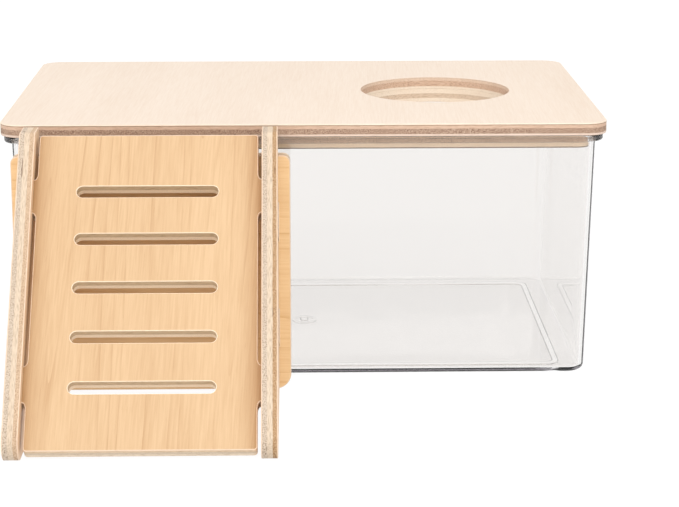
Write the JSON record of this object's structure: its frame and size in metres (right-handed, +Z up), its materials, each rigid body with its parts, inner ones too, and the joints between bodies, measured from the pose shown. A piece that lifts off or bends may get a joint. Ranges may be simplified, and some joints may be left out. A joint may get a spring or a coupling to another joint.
{
  "type": "hamster cage",
  "caption": "Small clear tub with a plywood lid and round entry hole, and a free-standing slotted plywood ladder that leads up to the lid.",
  "frame": {"origin": "on the floor, under the middle of the whole object's box", "axes": "+X to the right seen from the ladder's side, +Y from the ladder towards the tub's back, +Z up"},
  "size_m": [0.189, 0.2022, 0.083],
  "materials": {
    "clear_plastic": "clear, polished",
    "lid_plywood": "pale sanded plywood",
    "inner_plywood": "pale sanded plywood",
    "ramp_plywood": "warm satin plywood",
    "rail_plywood": "warm satin plywood with cut edges",
    "back_plywood": "warm satin plywood"
  },
  "bodies": {
    "tub": {"tub": "clear_plastic"},
    "lid": {"lid_board": "lid_plywood", "lid_inner_board": "inner_plywood"},
    "ladder": {"ladder_ramp": "ramp_plywood", "ladder_left_rail": "rail_plywood", "ladder_right_rail": "rail_plywood", "ladder_back_board": "back_plywood"}
  },
  "joints": [
    {"name": "lid_lift", "type": "slide", "parent": "tub", "child": "lid", "axis": [0, 0, 1], "range_m": [0, 0.06]},
    {"name": "ladder_pull", "type": "slide", "parent": "tub", "child": "ladder", "axis": [0, -1, 0], "range_m": [0, 0.12]}
  ]
}
